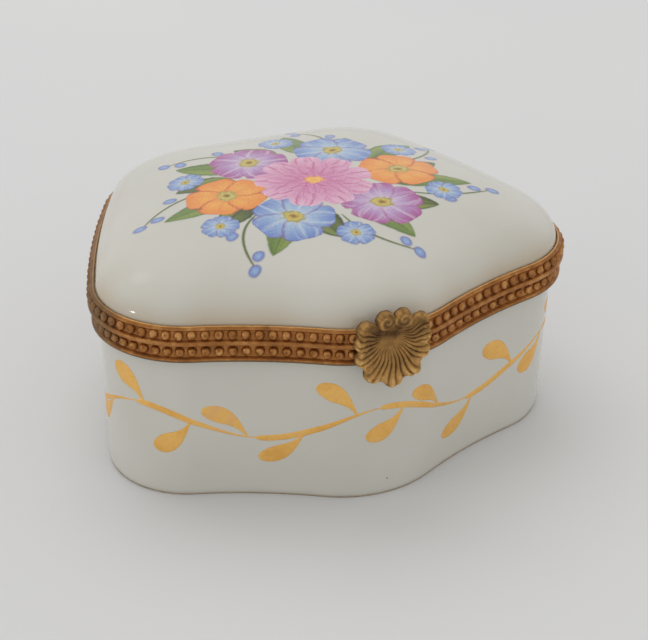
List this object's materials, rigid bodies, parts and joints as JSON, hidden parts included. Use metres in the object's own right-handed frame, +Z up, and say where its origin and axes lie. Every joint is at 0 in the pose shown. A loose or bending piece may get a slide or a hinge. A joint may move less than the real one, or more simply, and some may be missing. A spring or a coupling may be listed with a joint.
{
  "type": "porcelain trinket box",
  "caption": "Five-sided serpentine porcelain trinket box with a cushion-domed hinged lid, beaded brass bands, a scallop shell clasp, a gold garland and a painted bouquet.",
  "frame": {"origin": "on the table plane under the middle of the whole box, counting the clasp and the hinge", "axes": "+X to the right seen from the clasp, -Y towards the clasp, +Y towards the hinge, +Z up"},
  "size_m": [0.0916, 0.0854, 0.0466],
  "materials": {
    "porcelain": "glossy glaze",
    "cement": "matt plaster cement",
    "bands": "antique copper-brown patina",
    "beads": "antique patina worn bright on top",
    "hinge": "antique patina",
    "pin": "antique patina",
    "shell": "olive-brown antique patina",
    "tongue": "satin spring brass",
    "gold": "fired gold lustre painted on the glaze",
    "bouquet": "transfer print under a glossy glaze"
  },
  "bodies": {
    "base": {"base_bowl": "porcelain", "base_bedding": "cement", "base_band": "bands", "base_beading": "beads", "catch_stud": "bands", "hinge_leaf_base": "hinge", "hinge_pin": "pin"},
    "lid": {"lid_dome": "porcelain", "lid_bedding": "cement", "lid_band": "bands", "lid_beading": "beads", "hinge_leaf_lid": "hinge", "clasp_shell": "shell", "clasp_tongue": "tongue"}
  },
  "joints": [
    {"name": "lid_hinge", "type": "hinge", "parent": "base", "child": "lid", "pos_m": [0, 0.04149, 0.03185], "axis": [-1, 0, 0], "range_deg": [0, 105]}
  ]
}
